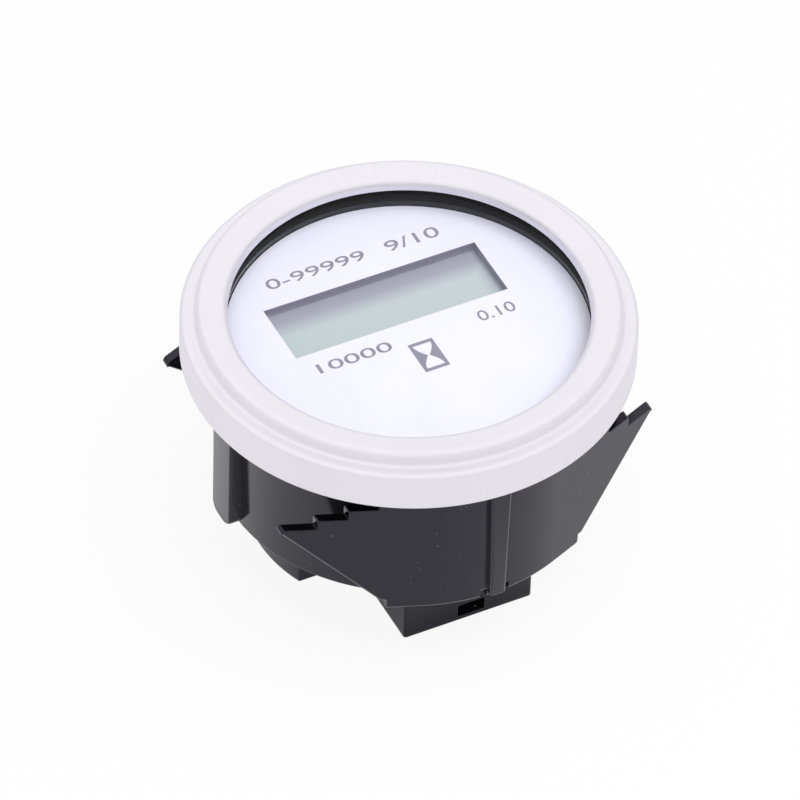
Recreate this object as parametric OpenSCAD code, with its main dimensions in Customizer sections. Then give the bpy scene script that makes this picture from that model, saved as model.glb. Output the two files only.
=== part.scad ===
// Panel hour meter: a round snap-in case with a silver bezel, a clear lens and a liquid crystal display.
// The origin is the centre of the bezel's rear face, where the panel seats. +Z points out of the dial,
// +X runs along the display and +Y points to 12 o'clock.

/* [Panel fit] */
// Diameter of the panel hole that the case slides through
panel_hole_d = 52.4; // [52:0.1:53.5]
// Play of the locating rails in the panel hole, on the diameter
panel_play = 0.2; // [0.1:0.05:0.5]

/* [Bezel] */
// Outer diameter of the bezel
bezel_d = 57; // [56:0.25:60]
// Thickness of the bezel's sheet metal
sheet_t = 0.6; // [0.4:0.05:0.7]
// Height of the outer shoulder above the panel
shoulder_h = 5.5; // [5.2:0.1:6]
// Width of the outer shoulder
shoulder_w = 2; // [1.8:0.05:2.2]
// Height of the raised ring's outer edge above the panel, before it is rounded
ring_h = 7.5; // [7.2:0.1:8]
// Width of the raised ring
ring_w = 3.95; // [3.7:0.05:4.2]
// Fall of the raised ring from its outer to its inner shoulder
ring_fall = 0.4; // [0.2:0.05:0.6]
// Radius of the ring's inner shoulder
ring_inner_fillet = 1; // [0.8:0.1:1.2]
// Radius of the ring's outer shoulder
ring_outer_fillet = 0.8; // [0.7:0.05:1]
// Radius of the outer shoulder's corner
shoulder_fillet = 0.7; // [0.7:0.05:0.9]
// Radius of the hollow between the ring and the shoulder
hollow_fillet = 0.6; // [0.3:0.05:0.7]
// Radius of the rolled rear edge
rolled_fillet = 0.4; // [0.2:0.05:0.5]
// Gap between the rolled rear lip and the locating rails
lip_gap = 0.2; // [0.1:0.05:0.4]

/* [Lens and gasket] */
// Thickness of the lens
lens_t = 2; // [1.5:0.1:2.4]
// Height of the lens's face above the panel
lens_face_h = 5.45; // [5.3:0.05:5.6]
// Width of the lens's rim that the bezel hides
lens_bite = 1.75; // [1.5:0.05:1.9]
// Thickness of the gasket
gasket_t = 1; // [0.6:0.05:1.2]
// Width of the gasket
gasket_w = 1.35; // [1.1:0.05:1.6]

/* [Dial and display] */
// Thickness of the dial plate
dial_t = 0.8; // [0.5:0.1:1]
// Height of the dial's face above the panel
dial_face_h = 1.6; // [1.4:0.1:1.9]
// Width of the ledge that carries the dial
dial_ledge = 0.7; // [0.5:0.1:1]
// Width of the display window
window_w = 29.4; // [26:0.2:30]
// Height of the display window
window_h = 9.3; // [8:0.1:9.8]
// Distance of the window's centre above the dial's centre
window_y = 6.4; // [6:0.1:6.6]
// Depth of the display behind the dial's back
display_inset = 0.6; // [0.4:0.1:1]
// Width of the display's glass
glass_w = 32.4; // [31.4:0.2:32.6]
// Height of the display's front glass
glass_h = 14.6; // [14.2:0.1:14.8]
// Thickness of each sheet of glass
glass_t = 0.7; // [0.5:0.05:0.9]
// Thickness of the polariser and the reflector
film_t = 0.2; // [0.1:0.05:0.3]
// Width of the contact ledge along each long edge of the front glass
contact_ledge = 1.9; // [1.7:0.1:2.1]
// Thickness of each contact strip
strip_t = 1.4; // [1:0.1:1.6]
// Wall of the display carrier
carrier_wall = 1.4; // [1:0.1:1.8]
// Thickness of the carrier's ears
ear_t = 2; // [1.5:0.1:2.6]

/* [Case] */
// Diameter of the round body at its rear edge
body_d = 48.1; // [47.6:0.1:48.6]
// Draft of the body, from the flange to the rear edge, on the diameter
body_draft = 0.8; // [0.2:0.1:1]
// Depth of the round body behind the panel
body_depth = 19.1; // [18:0.1:21]
// Wall of the body
wall = 1.8; // [1.4:0.1:2]
// Thickness of the body's rear wall
floor_t = 2; // [1.5:0.1:2.5]

/* [Ribs and rails] */
// Diameter across the two broad ribs
rib_d = 51.6; // [50.5:0.1:51.9]
// Width of a broad rib
rib_w = 5; // [4:0.1:7]
// Length of a broad rib behind the panel
rib_len = 19; // [15:0.1:19.5]
// Radius of a rib's lower corners
rib_corner = 1.2; // [0.5:0.1:1.8]
// Width of a locating rail at the flange
rail_w = 2.9; // [2.4:0.1:3.4]
// Width of a locating rail at its rear end
rail_end_w = 2.1; // [1.6:0.1:2.3]
// Length of a locating rail behind the panel
rail_len = 19.85; // [18:0.05:20.5]

/* [Snap wings] */
// Diameter over the wings where they hug the body
wing_d = 50.2; // [49.6:0.1:50.8]
// Thickness of a wing
wing_t = 1.3; // [1:0.05:1.4]
// Angle from the rail to where a wing leaves the body
wing_angle = 21.3; // [18:0.1:26]
// Length of a wing's straight plate
wing_len = 17.8; // [16.5:0.1:19]
// Depth of a wing's lower edge behind the panel
wing_depth = 20.7; // [19.5:0.05:23]
// Length of the lower edge along the plate, up to its step
wing_flat = 4.5; // [2:0.1:6]
// Height of the step in the lower edge
wing_step = 1.4; // [0.8:0.1:2]
// Length of the step before the edge slants up to the tip
wing_ledge = 0.7; // [0.3:0.1:1.2]
// Height of a wing's blunt tip
tip_h = 0.6; // [0.5:0.1:1.2]
// Radius of the tip's upper corner
tip_r = 0.5; // [0.2:0.1:0.6]
// Length of the last tooth, which ends in the tip
tip_run = 4.5; // [3.5:0.1:5]
// Number of stepped teeth
teeth = 4; // [2:1:4]
// Depth of the first tooth behind the panel
first_tooth = 1.75; // [1:0.05:3]
// Step from each tooth to the next
tooth_rise = 1.45; // [0.8:0.05:1.6]
// Length of a tooth
tooth_run = 3.8; // [3:0.1:4.2]
// Width of the relief beside a rail
relief_w = 0.95; // [0.5:0.05:1.2]
// Height of the relief beside a rail
relief_h = 1.1; // [0.6:0.1:1.5]

/* [Rear step and connector] */
// Diameter of the rear step
step_d = 40.4; // [38:0.1:42]
// Depth of the rear step behind the panel
step_depth = 26.4; // [24:0.1:27]
// Distance of the step's flat front below the centre
step_front = 8; // [7:0.1:9]
// Radius of the step's rear edge
step_edge = 0.3; // [0.2:0.1:1]
// Width of the connector shroud
shroud_w = 17.9; // [17.2:0.1:18.6]
// Distance of the shroud's front below the centre
shroud_reach = 18.45; // [18:0.05:19]
// Depth of the shroud's mouth behind the panel
shroud_depth = 31.05; // [30.5:0.05:33]
// Wall of the shroud
shroud_wall = 1.5; // [1.2:0.1:1.6]
// Width of the latch window
latch_w = 3.75; // [3:0.05:5]
// Height of the latch window
latch_h = 1.9; // [1.5:0.1:3]
// Offset of the latch window to the right of the shroud's middle
latch_x = 0.4; // [0:0.05:1.5]
// Height of the shroud's rim below the latch window
latch_rim = 0.75; // [0.5:0.05:1.2]
// Chamfer of the latch window's lower edge
latch_chamfer = 0.9; // [0.3:0.1:1.2]

/* [Terminals] */
// Width of a blade terminal
blade_w = 6.35; // [6.2:0.05:6.4]
// Thickness of a blade terminal
blade_t = 0.8; // [0.5:0.05:1]
// Distance between the two blades' middles
blade_pitch = 7.4; // [6:0.1:9]
// Depth of the blade's tip inside the shroud's mouth
blade_inset = 3; // [2:0.1:4]
// Diameter of the detent hole in a blade
blade_hole_d = 1.6; // [1.2:0.1:2]
// Width of a blade's tail in the circuit board
tail_w = 2.4; // [1.6:0.1:3]

/* [Circuit] */
// Diameter of the circuit board
board_d = 43; // [42.6:0.1:43.4]
// Thickness of the circuit board
board_t = 1.6; // [1:0.1:2]
// Depth of the board's front face behind the panel
board_depth = 5; // [4.6:0.1:5.6]
// Distance of each screw post from the centre
post_r = 18.6; // [18.2:0.1:18.8]
// Diameter of a screw post
post_d = 4.4; // [4:0.1:5]
// Diameter of a screw's shank
screw_d = 2.2; // [1.8:0.1:2.4]
// Length of a screw's shank
screw_len = 9; // [7:0.5:10]
// Diameter of a screw's head
screw_head_d = 4; // [3.6:0.1:4.4]
// Height of a screw's head
screw_head_h = 1.4; // [1:0.1:1.8]

/* [Hidden] */
$fn = 64;
// Gap between pieces that fit inside each other
fit_gap = 0.05;
// Gap round the display, the dial and the board in their pockets
pocket_gap = 0.1;
// Reach of a cut past the face that it opens
cut = 1;

// Radii and heights of the bezel
bezel_r = bezel_d / 2;
ring_outer_r = bezel_r - shoulder_w;
sight_r = ring_outer_r - ring_w;
ring_inner_h = ring_h - ring_fall;
ring_slope = ring_fall / ring_w;
// Lap of the raised ring's rounded shoulders over its crest
crest_lap = 0.0002;
crest_normal = [-ring_slope, 1] / norm([ring_slope, 1]);
inner_fillet_r = sight_r + ring_inner_fillet;
inner_fillet_at = [inner_fillet_r, crest(inner_fillet_r, ring_inner_fillet - crest_lap)];
outer_fillet_r = ring_outer_r - ring_outer_fillet;
outer_fillet_at = [outer_fillet_r, crest(outer_fillet_r, ring_outer_fillet - crest_lap)];
shoulder_fillet_at = [bezel_r - shoulder_fillet, shoulder_h - shoulder_fillet];

// Heights of the stack behind the lens
lens_back = lens_face_h - lens_t;
gasket_seat = lens_back - gasket_t;
dial_back = dial_face_h - dial_t;
glass_face = dial_back - display_inset;
front_glass_back = glass_face - film_t - glass_t;
rear_glass_back = front_glass_back - glass_t;
board_front = -board_depth;
board_back = board_front - board_t;
floor_front = floor_t - body_depth;

// Radii of the case
lens_r = sight_r + lens_bite;
lens_pocket_r = lens_r + pocket_gap;
body_r = body_d / 2;
body_top_r = body_r + body_draft / 2;
cavity_r = body_r - wall;
dial_pocket_r = cavity_r + dial_ledge;
dial_r = dial_pocket_r - pocket_gap;
flange_r = bezel_r - sheet_t - fit_gap;
flange_back = sheet_t;
flange_top = shoulder_h - sheet_t - fit_gap;
flange_chamfer = shoulder_fillet - sheet_t;
upstand_r = ring_outer_r - sheet_t - fit_gap;
upstand_top = ring_inner_h - sheet_t - 2 * pocket_gap;
rail_r = (panel_hole_d - panel_play) / 2;
lip_r = rail_r + lip_gap;
rib_r = rib_d / 2;
wing_r = wing_d / 2;
// Radius inside the body's wall where what stands on the body is rooted
root_r = body_r - wall / 2;
// Height inside the flange where what stands behind it is rooted
root_h = flange_back + wall / 2;
// Sink of a wing's straight plate behind the arc's surfaces where the two join
plate_sink = 0.02;
// Inset of the arc's skirt from the body's side
skirt_inset = 0.4;
skirt_r = body_r - skirt_inset;
// Angle by which a wing's arc runs on inside its plate
wing_lap = 3;
// Depth of each tooth, from the body to the tip
tooth_depths = [for (i = [0:teeth - 1]) first_tooth + i * tooth_rise];
tip_depth = tooth_depths[teeth - 1];
// Distances along a wing's plate where each tooth starts, and the tip
tooth_starts = [for (i = [0:teeth - 1]) wing_len - tip_run - (teeth - 1 - i) * tooth_run];
tooth_ends = [for (i = [0:teeth - 1]) i < teeth - 1 ? tooth_starts[i + 1] : wing_len];

// Connector
step_r = step_d / 2;
shroud_front = -shroud_reach;
shroud_back = -step_front;
socket_front = shroud_front + shroud_wall;
socket_back = shroud_back - shroud_wall;
socket_mid = (socket_front + socket_back) / 2;
step_cavity_r = step_r - wall;

// The display and its carrier
pocket_w = glass_w + 2 * pocket_gap;
pocket_h = glass_h + 2 * pocket_gap;
rear_glass_h = glass_h - 2 * contact_ledge;
film_w = glass_w - contact_ledge;
carrier_r = cavity_r - 2 * pocket_gap;
strip_offset = (glass_h - contact_ledge) / 2;
ear_margin = 0.6;
ear_r = screw_head_d / 2 + ear_margin;
ear_top = board_front + ear_t;
post_angles = [90, 215, 325];
screw_r = screw_d / 2;
screw_hole_r = screw_r + 2 * pocket_gap;

// Blade terminals
blade_tip = blade_inset - shroud_depth;
blade_rise = 2;
blade_shoulder = floor_front + blade_rise;
tail_stub = 0.6;
tail_end = board_front + tail_stub;
blade_chamfer = 1.2;

// Components on the back of the circuit board: their middles and their sizes
micro_at = [0, 4];
micro_size = [9, 9, 1.4];
micro_leads = 8;
memory_at = [12, 10];
memory_size = [5, 4, 1.5];
memory_leads = 4;
lead_size = [1, 0.4, 0.2];
lead_pitch = 0.9;
crystal_at = [-11, 9];
crystal_size = [11, 4.6, 3.5];
crystal_rim = 0.5;
capacitor_at = [-13, -1.5];
capacitor_d = 8;
capacitor_h = 9;
capacitor_groove = 0.4;
absorber_at = [11.5, -3];
absorber_d = 9;
absorber_t = 3.4;
absorber_gap = 1;
absorber_lead_d = 0.6;
absorber_lead_pitch = 5;
diode_at = [3, -7];
diode_row = 3.6;
diode_size = [3.4, 2.6, 2.1];
diode_tab = [0.5, 1.4, 0.3];
regulator_at = [0, 13];
regulator_size = [4.5, 2.5, 1.5];
regulator_tab = [1.8, 1, 0.4];
regulator_leads = 3;
resistor_size = [2, 1.25, 0.5];
resistors_at = [[8.2, 5], [8.2, 2.6], [-8, 4.4], [-8.2, 14], [8.2, 14.4], [0, -12]];
ceramic_size = [2, 1.25, 0.9];
ceramics_at = [[0, -2.7], [-7, -2.8], [7, -2.8], [14.5, 4.6]];

// A bar centred on X and Y, from height z0 to height z1
module bar(size, z0, z1) {
    translate([-size.x / 2, -size.y / 2, z0]) cube([size.x, size.y, z1 - z0]);
}

// A round post or hole from height z0 to height z1
module post(r, z0, z1) {
    translate([0, 0, z0]) cylinder(r = r, h = z1 - z0);
}

// A rectangle between two opposite corners of a section
module span(low, high) {
    translate(low) square(high - low);
}

// Places its children at each screw post
module at_posts() {
    for (a = post_angles) rotate(a) translate([post_r, 0, 0]) children();
}

// Height of the raised ring's crest at a radius, with the outline drawn in by inset
function crest(radius, inset) =
    ring_h - ring_slope * (ring_outer_r - radius) - inset * norm([ring_slope, 1]);

// What a rounded corner takes off a section: the wall stands on the given side, the top faces normal
module corner_cut(centre, r, side, normal) {
    reach = r + cut;
    across = [side * reach, 0];
    difference() {
        polygon([centre, centre + across, centre + across + [0, reach], centre + reach * normal]);
        translate(centre) circle(r);
    }
}

// The bezel's section, from height foot up, with its outline drawn in by inset
module bezel_outline(inset, foot) {
    inner = sight_r + inset;
    outer = ring_outer_r - inset;
    shoulder = shoulder_h - inset;
    rim = bezel_r - inset;
    difference() {
        polygon([[inner, foot], [inner, crest(inner, inset)], [outer, crest(outer, inset)],
            [outer, shoulder], [rim, shoulder], [rim, foot]]);
        corner_cut(inner_fillet_at, ring_inner_fillet - inset, -1, crest_normal);
        corner_cut(outer_fillet_at, ring_outer_fillet - inset, 1, crest_normal);
        corner_cut(shoulder_fillet_at, shoulder_fillet - inset, 1, [0, 1]);
    }
}

// Hollow curve between the raised ring and the outer shoulder
module bezel_hollow() {
    corner = [ring_outer_r, shoulder_h];
    centre = corner + [hollow_fillet, hollow_fillet];
    difference() {
        span(corner - [fit_gap, fit_gap], centre);
        translate(centre) circle(hollow_fillet);
    }
}

// What a rounded lower corner takes off a section that ends at the radius outer and the height foot
module lower_corner_cut(outer, foot, r) {
    centre = [outer - r, foot + r];
    difference() {
        span([centre.x, foot - cut], [outer + cut, centre.y]);
        translate(centre) circle(r);
    }
}

module bezel() {
    color("gainsboro") {
        rotate_extrude() difference() {
            bezel_outline(0, 0);
            bezel_outline(sheet_t, sheet_t);
            lower_corner_cut(bezel_r, 0, rolled_fillet);
            span([0, -cut], [lip_r, flange_back]);
            span([0, -cut], [sight_r + sheet_t, lens_face_h]);
        }
        rotate_extrude() bezel_hollow();
    }
}

module lens() {
    color("lightcyan", 0.3) post(lens_r, lens_back, lens_face_h);
}

module lens_gasket() {
    color("black") difference() {
        post(lens_r, gasket_seat, lens_back);
        post(lens_r - gasket_w, gasket_seat - cut, lens_back + cut);
    }
}

module dial_plate() {
    color("white") difference() {
        post(dial_r, dial_back, dial_face_h);
        translate([0, window_y, 0]) bar([window_w, window_h], dial_back - cut, dial_face_h + cut);
    }
}

// Round body, flange and pockets for the dial, the gasket and the lens, as one turned section
module body() {
    rotate_extrude() polygon([
        [0, -body_depth], [body_r, -body_depth], [body_top_r, flange_back], [flange_r, flange_back],
        [flange_r, flange_top - flange_chamfer], [flange_r - flange_chamfer, flange_top],
        [upstand_r, flange_top], [upstand_r, upstand_top], [lens_pocket_r, upstand_top],
        [lens_pocket_r, gasket_seat], [dial_pocket_r, gasket_seat], [dial_pocket_r, dial_back],
        [cavity_r, dial_back], [cavity_r, floor_front], [0, floor_front]]);
}

// Broad rib at 3 o'clock, with rounded lower corners
module rib() {
    intersection() {
        translate([root_r, 0, 0]) rotate([90, 0, 90]) linear_extrude(rib_r - root_r) difference() {
            span([-rib_w / 2, -rib_len], [rib_w / 2, root_h]);
            for (side = [0, 1]) mirror([side, 0]) lower_corner_cut(rib_w / 2, -rib_len, rib_corner);
        }
        post(rib_r, -rib_len - cut, root_h + cut);
    }
}

// Tapered locating rail at 6 o'clock
module rail() {
    intersection() {
        translate([0, -root_r, 0]) rotate([90, 0, 0]) linear_extrude(rail_r - root_r) polygon([
            [-rail_w / 2, root_h], [-rail_end_w / 2, -rail_len],
            [rail_end_w / 2, -rail_len], [rail_w / 2, root_h]]);
        post(rail_r, -rail_len - cut, root_h + cut);
    }
}

// Place across the pair of wings of a distance along the outer face of one wing's plate
function wing_x(along) = wing_r * sin(wing_angle) + along * cos(wing_angle);

// Outline of a wing from the front: stepped teeth along the top, a slanted lower edge and a rounded tip
module wing_outline() {
    start = wing_x(0) - wing_t;
    ledge = wing_step - wing_depth;
    steps = [for (i = [0:teeth - 1], at = [tooth_starts[i], tooth_ends[i]]) [wing_x(at), -tooth_depths[i]]];
    difference() {
        polygon(concat([[start, plate_sink - wing_depth], [start, root_h], [steps[0].x, root_h]], steps, [
            [wing_x(wing_len), -tip_depth - tip_h], [wing_x(wing_flat + wing_ledge), ledge],
            [wing_x(wing_flat), ledge], [wing_x(wing_flat), -wing_depth]]));
        corner_cut([wing_x(wing_len) - tip_r, -tip_depth - tip_r], tip_r, 1, [0, 1]);
    }
}

// Straight plate of a wing, cut to its outline in the direction that the mould opens
module wing_plate() {
    intersection() {
        rotate(wing_angle) translate([0, plate_sink - wing_r, -wing_depth - cut])
            cube([wing_len + cut, wing_t, wing_depth + root_h + 2 * cut]);
        rotate([90, 0, 0]) linear_extrude(wing_r) wing_outline();
    }
}

// The two wings either side of the rail at 6 o'clock, on the arc that joins them
module wing_pair() {
    reach = wing_angle + wing_lap;
    difference() {
        union() {
            rotate(-90 - reach) rotate_extrude(angle = 2 * reach) polygon([
                [root_r, root_h], [wing_r, root_h], [wing_r, -wing_depth], [skirt_r, -wing_depth],
                [skirt_r, floor_front - floor_t / 2], [root_r, floor_front - floor_t / 2]]);
            for (side = [0, 1]) mirror([side, 0, 0]) wing_plate();
        }
        for (side = [0, 1]) mirror([side, 0, 0]) relief();
    }
}

// Relief in the wings' lower edge beside the rail
module relief() {
    translate([rail_end_w / 2, -wing_r - cut, -wing_depth - cut])
        cube([relief_w, wing_r - skirt_r + 2 * cut, relief_h + cut]);
}

// Rear step: a round block with a rounded rear edge and a flat front
module rear_step() {
    intersection() {
        rotate_extrude() difference() {
            span([0, -step_depth], [step_r, floor_t / 2 - body_depth]);
            lower_corner_cut(step_r, -step_depth, step_edge);
        }
        translate([-step_r, -step_front, -step_depth - cut]) cube([step_d, step_d, step_depth]);
    }
}

// Hollow of the rear step, open to the body's cavity
module step_cavity() {
    intersection() {
        post(step_cavity_r, wall - step_depth, floor_front + cut);
        translate([-step_r, wall - step_front, -step_depth]) cube([step_d, step_d, step_depth]);
    }
}

// Connector shroud, before its socket is cut
module shroud() {
    translate([-shroud_w / 2, shroud_front, -shroud_depth])
        cube([shroud_w, shroud_back - shroud_front + wall / 2, shroud_depth - body_depth + floor_t / 2]);
}

// Socket that the mating connector enters from the rear
module socket() {
    half = shroud_w / 2 - shroud_wall;
    translate([-half, socket_front, -shroud_depth - cut])
        cube([2 * half, socket_back - socket_front, shroud_depth - body_depth + cut]);
}

// Latch window through the shroud's front wall, with a ramp along its lower edge
module latch_window() {
    low = latch_rim - shroud_depth;
    high = low + latch_h;
    ramp = latch_chamfer / shroud_wall;
    translate([latch_x - latch_w / 2, 0, 0]) rotate([90, 0, 90]) linear_extrude(latch_w) polygon([
        [shroud_front - cut, low - ramp * cut], [shroud_front - cut, high],
        [socket_front + cut, high], [socket_front + cut, low + latch_chamfer + ramp * cut]]);
}

// Slots in the body's rear wall for the blade terminals
module blade_slots() {
    for (side = [-1, 1]) translate([side * blade_pitch / 2, socket_mid, 0])
        bar([blade_t + 2 * fit_gap, blade_w + 2 * fit_gap], -body_depth - cut, floor_front + cut);
}

// Posts that carry the circuit board, each rooted in the wall below it
module screw_posts() {
    for (a = post_angles) {
        on_step = post_r * sin(a) > -step_front;
        foot = on_step ? wall / 2 - step_depth : floor_t / 2 - body_depth;
        rotate(a) translate([post_r, 0, 0]) post(post_d / 2, foot, board_back);
    }
}

module case() {
    color([0.13, 0.13, 0.14]) difference() {
        union() {
            difference() {
                union() {
                    body();
                    rear_step();
                    shroud();
                }
                step_cavity();
            }
            for (turn = [0, 180]) rotate(turn) {
                rib();
                rail();
                wing_pair();
            }
            screw_posts();
        }
        socket();
        latch_window();
        blade_slots();
        at_posts() post(screw_r + fit_gap, ear_top - screw_len - cut, board_back + cut);
    }
}

// Carrier that frames the display, pressed between the dial and the circuit board
module display_carrier() {
    color("whitesmoke") difference() {
        intersection() {
            union() {
                translate([0, window_y, 0])
                    bar([pocket_w + 2 * carrier_wall, pocket_h + 2 * carrier_wall], board_front, dial_back);
                carrier_ears();
            }
            post(carrier_r, board_front, dial_back);
        }
        translate([0, window_y, 0]) {
            bar([pocket_w, pocket_h], board_front - cut, glass_face);
            bar([window_w + 2 * pocket_gap, window_h + 2 * pocket_gap], glass_face - cut, dial_back + cut);
        }
        at_posts() post(screw_hole_r, board_front - cut, ear_top + cut);
    }
}

// Ears that reach from the carrier to the screw posts
module carrier_ears() {
    translate([0, 0, board_front]) linear_extrude(ear_t) for (a = post_angles) {
        at = post_r * [cos(a), sin(a)];
        translate(at) circle(ear_r);
        span([at.x - ear_r, min(at.y, window_y)], [at.x + ear_r, max(at.y, window_y)]);
    }
}

// A flat sheet of the display, centred behind the window
module sheet(size, back, front) {
    translate([0, window_y, 0]) bar(size, back, front);
}

module front_polariser() {
    color("darkseagreen", 0.6) sheet([film_w, rear_glass_h], glass_face - film_t, glass_face);
}

module front_glass() {
    color("honeydew", 0.5) sheet([glass_w, glass_h], front_glass_back, glass_face - film_t);
}

module rear_glass() {
    color("honeydew", 0.5) sheet([glass_w, rear_glass_h], rear_glass_back, front_glass_back);
}

module reflector() {
    color("silver") sheet([film_w, rear_glass_h], rear_glass_back - film_t, rear_glass_back);
}

// Elastic strip that joins the front glass's contacts to the circuit board
module contact_strip(side) {
    color("dimgray") translate([0, window_y + side * strip_offset, 0])
        bar([film_w, strip_t], board_front, front_glass_back);
}

module upper_contact_strip() { contact_strip(1); }

module lower_contact_strip() { contact_strip(-1); }

module circuit_board() {
    color("darkgreen") difference() {
        post(board_d / 2, board_back, board_front);
        at_posts() post(screw_hole_r, board_back - cut, board_front + cut);
        for (side = [-1, 1]) translate([side * blade_pitch / 2, socket_mid, 0])
            bar([blade_t + 2 * fit_gap, tail_w + 2 * fit_gap], board_back - cut, board_front + cut);
    }
}

// A blade terminal: chamfered tip, detent hole and a narrow tail soldered into the board
module terminal(side) {
    half = blade_w / 2;
    tail = tail_w / 2;
    color("goldenrod") translate([side * blade_pitch / 2 - blade_t / 2, socket_mid, 0])
        rotate([90, 0, 90]) linear_extrude(blade_t) difference() {
            polygon([
                [blade_chamfer - half, blade_tip], [half - blade_chamfer, blade_tip],
                [half, blade_tip + blade_chamfer], [half, blade_shoulder], [tail, blade_shoulder],
                [tail, tail_end], [-tail, tail_end], [-tail, blade_shoulder],
                [-half, blade_shoulder], [-half, blade_tip + blade_chamfer]]);
            translate([0, blade_tip + blade_w / 2]) circle(d = blade_hole_d);
        }
}

module left_terminal() { terminal(-1); }

module right_terminal() { terminal(1); }

module carrier_screws() {
    color("silver") at_posts() {
        post(screw_head_d / 2, ear_top, ear_top + screw_head_h);
        post(screw_r, ear_top - screw_len, ear_top);
    }
}

// Places its children upside down on the back of the circuit board
module on_board(at) {
    translate([at.x, at.y, board_back]) mirror([0, 0, 1]) children();
}

// A row of flat leads along the +X side of a chip
module lead_row(count, reach) {
    for (i = [0:count - 1]) translate([reach, (i - (count - 1) / 2) * lead_pitch, 0])
        bar([2 * lead_size.x, lead_size.y], 0, lead_size.z);
}

module microcontroller() {
    color("black") on_board(micro_at) {
        bar(micro_size, 0, micro_size.z);
        for (turn = [0:90:270]) rotate(turn) lead_row(micro_leads, micro_size.x / 2);
    }
}

module memory_chip() {
    color("black") on_board(memory_at) {
        bar(memory_size, 0, memory_size.z);
        for (turn = [0, 180]) rotate(turn) lead_row(memory_leads, memory_size.x / 2);
    }
}

// Oval of a metal can, grown by a margin
module can_outline(size, margin) {
    straight = size.x - size.y;
    for (side = [-1, 1]) translate([side * straight / 2, 0]) circle(size.y / 2 + margin);
    span([-straight / 2, -size.y / 2 - margin], [straight / 2, size.y / 2 + margin]);
}

module timing_crystal() {
    color("silver") on_board(crystal_at) {
        linear_extrude(crystal_size.z) can_outline(crystal_size, -crystal_rim);
        linear_extrude(crystal_rim) can_outline(crystal_size, 0);
    }
}

// Electrolytic can with the crimped groove near its foot
module smoothing_capacitor() {
    can_r = capacitor_d / 2;
    groove_h = capacitor_h / 8;
    color("steelblue") on_board(capacitor_at) rotate_extrude() polygon([
        [0, 0], [can_r, 0], [can_r, groove_h - capacitor_groove], [can_r - capacitor_groove, groove_h],
        [can_r, groove_h + capacitor_groove], [can_r, capacitor_h], [0, capacitor_h]]);
}

// Disc that soaks up voltage spikes, standing on two leads
module surge_absorber() {
    color("royalblue") on_board(absorber_at) {
        translate([-absorber_t / 2, 0, absorber_gap + absorber_d / 2]) rotate([0, 90, 0])
            cylinder(d = absorber_d, h = absorber_t);
        for (side = [-1, 1]) translate([0, side * absorber_lead_pitch / 2, 0])
            post(absorber_lead_d / 2, 0, absorber_gap + absorber_d / 2);
    }
}

// Four diodes in two rows
module rectifier_diodes() {
    tab_reach = diode_size.x / 2;
    color("dimgray") for (column = [-1, 1], row = [-1, 1])
        on_board([column * diode_at.x, diode_at.y + row * diode_row / 2]) {
            bar(diode_size, 0, diode_size.z);
            for (side = [-1, 1]) translate([side * tab_reach, 0, 0])
                bar([2 * diode_tab.x, diode_tab.y], 0, diode_tab.z);
        }
}

module voltage_regulator() {
    color("black") on_board(regulator_at) {
        bar(regulator_size, 0, regulator_size.z);
        translate([0, regulator_size.y / 2, 0])
            bar([regulator_tab.x, 2 * regulator_tab.y], 0, regulator_tab.z);
        translate([0, -regulator_size.y / 2, 0]) rotate(-90) lead_row(regulator_leads, 0);
    }
}

module chip_resistors() {
    color("black") for (at = resistors_at) on_board(at) bar(resistor_size, 0, resistor_size.z);
}

module ceramic_capacitors() {
    color("tan") for (at = ceramics_at) on_board(at) bar(ceramic_size, 0, ceramic_size.z);
}

case();
bezel();
lens();
lens_gasket();
dial_plate();
display_carrier();
front_polariser();
front_glass();
rear_glass();
reflector();
upper_contact_strip();
lower_contact_strip();
circuit_board();
microcontroller();
memory_chip();
timing_crystal();
smoothing_capacitor();
surge_absorber();
rectifier_diodes();
voltage_regulator();
chip_resistors();
ceramic_capacitors();
left_terminal();
right_terminal();
carrier_screws();
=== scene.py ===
"""Looks of a round snap-in hour meter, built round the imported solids.

Lengths are in millimetres in the row frame until piece() turns them into metres: the origin is the centre
of the bezel's rear face, +Z points out of the dial, +X runs along the display and +Y points to 12 o'clock.
"""

import bmesh
import bpy
import numpy as np
from mathutils import Matrix


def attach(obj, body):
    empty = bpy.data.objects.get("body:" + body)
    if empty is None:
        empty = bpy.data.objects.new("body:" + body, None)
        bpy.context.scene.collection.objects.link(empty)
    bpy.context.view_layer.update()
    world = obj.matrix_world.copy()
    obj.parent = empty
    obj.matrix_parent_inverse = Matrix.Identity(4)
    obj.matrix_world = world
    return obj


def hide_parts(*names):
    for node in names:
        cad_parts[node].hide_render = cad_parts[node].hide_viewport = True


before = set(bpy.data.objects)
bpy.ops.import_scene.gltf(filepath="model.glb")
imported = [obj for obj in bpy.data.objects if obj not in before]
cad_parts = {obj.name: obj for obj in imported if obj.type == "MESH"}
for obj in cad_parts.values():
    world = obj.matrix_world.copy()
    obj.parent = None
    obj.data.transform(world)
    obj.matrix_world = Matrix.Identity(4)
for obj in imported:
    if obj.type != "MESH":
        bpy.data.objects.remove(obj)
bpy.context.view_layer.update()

MM = 0.001

# Bezel section: radii and heights of its sharp corners
SHEET = 0.6
FIT_GAP = 0.05
POCKET_GAP = 0.1
BEZEL_R = 28.5
RING_OUTER_R = 26.5
SIGHT_R = 22.55
RING_H = 7.5
RING_FALL = 0.4
RING_W = RING_OUTER_R - SIGHT_R
SHOULDER_H = 5.5
LIP_R = 26.3
LENS_FACE = 5.45

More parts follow.
